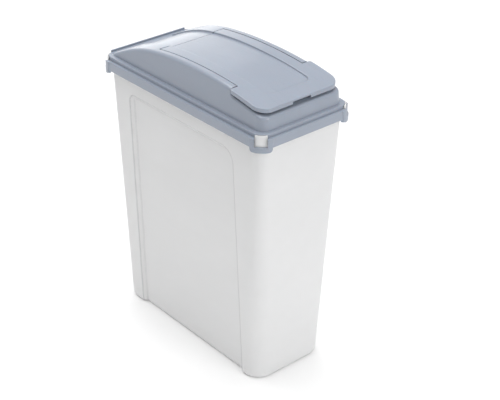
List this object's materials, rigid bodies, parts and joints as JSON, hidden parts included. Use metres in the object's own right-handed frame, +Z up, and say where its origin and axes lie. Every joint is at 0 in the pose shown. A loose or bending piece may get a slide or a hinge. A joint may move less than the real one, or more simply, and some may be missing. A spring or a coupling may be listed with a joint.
{
  "type": "pet food storage bin",
  "caption": "Tall tapered plastic food bin with a lift-off domed lid, corner straps over tub lugs and a hinged pouring flap.",
  "frame": {"origin": "middle of the underside of the closed bin", "axes": "+Z up, X across the width, Y along the length with the flap's lip at the -Y end and the hinge towards +Y"},
  "size_m": [0.1918, 0.403, 0.5148],
  "materials": {
    "natural_plastic": "milky natural polypropylene, faintly translucent, fine satin grain",
    "lid_plastic": "satin blue-grey polypropylene",
    "flap_plastic": "satin blue-grey polypropylene"
  },
  "bodies": {
    "bin": {"bin_body": "natural_plastic"},
    "lid": {"lid": "lid_plastic"},
    "flap": {"flap": "flap_plastic"}
  },
  "joints": [
    {"name": "lid_lift", "type": "slide", "parent": "bin", "child": "lid", "axis": [0, 0, 1], "range_m": [0, 0.12]},
    {"name": "flap_hinge", "type": "hinge", "parent": "lid", "child": "flap", "pos_m": [0, 0.0724, 0.5051], "axis": [-1, 0, 0], "range_deg": [0, 95]}
  ]
}
